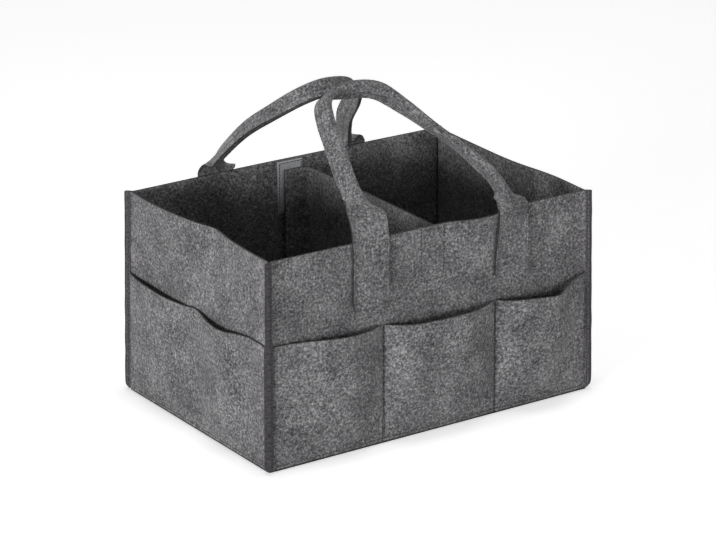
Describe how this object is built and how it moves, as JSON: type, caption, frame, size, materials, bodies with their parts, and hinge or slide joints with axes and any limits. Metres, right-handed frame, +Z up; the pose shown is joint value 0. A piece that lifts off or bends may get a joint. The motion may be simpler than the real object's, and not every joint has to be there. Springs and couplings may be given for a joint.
{
  "type": "felt diaper caddy",
  "caption": "Open rectangular felt caddy with outside pockets, two swinging carrying handles and a lift-out divider held by hook and loop tape.",
  "frame": {"origin": "centre of the underside, on the surface that the caddy stands on", "axes": "+X along the long sides, from the pictured left end to the right end; +Y from the front long side to the rear one; +Z up"},
  "size_m": [0.4094, 0.2854, 0.331],
  "materials": {
    "felt": "matt heather grey needle felt",
    "strap_felt": "matt heather grey needle felt",
    "binding_tape": "ribbed dark charcoal woven tape",
    "loop_tape": "light grey looped pile",
    "hook_tape": "grey moulded hooks",
    "board": "plain stiff board"
  },
  "bodies": {
    "caddy": {"front_wall": "felt", "rear_wall": "felt", "left_wall": "felt", "right_wall": "felt", "front_pocket_panel": "felt", "rear_pocket_panel": "felt", "left_pocket_panel": "felt", "right_pocket_panel": "felt", "base_panel": "felt", "base_board": "board", "base_liner": "felt", "front_left_binding": "binding_tape", "front_right_binding": "binding_tape", "rear_left_binding": "binding_tape", "rear_right_binding": "binding_tape", "front_handle_left_end": "strap_felt", "front_handle_right_end": "strap_felt", "rear_handle_left_end": "strap_felt", "rear_handle_right_end": "strap_felt", "front_loop_patch": "loop_tape", "rear_loop_patch": "loop_tape"},
    "front_handle": {"front_handle": "strap_felt"},
    "rear_handle": {"rear_handle": "strap_felt"},
    "divider": {"divider_panel": "felt", "divider_front_hook_tape": "hook_tape", "divider_rear_hook_tape": "hook_tape"}
  },
  "joints": [
    {"name": "front_handle_swing", "type": "hinge", "parent": "caddy", "child": "front_handle", "pos_m": [0.0095, -0.1307, 0.215], "axis": [1, 0, 0], "range_deg": [0, 205]},
    {"name": "rear_handle_swing", "type": "hinge", "parent": "caddy", "child": "rear_handle", "pos_m": [-0.006, 0.1307, 0.215], "axis": [-1, 0, 0], "range_deg": [0, 200]},
    {"name": "divider_lift", "type": "slide", "parent": "caddy", "child": "divider", "axis": [0, 0, 1], "range_m": [0, 0.085]}
  ]
}
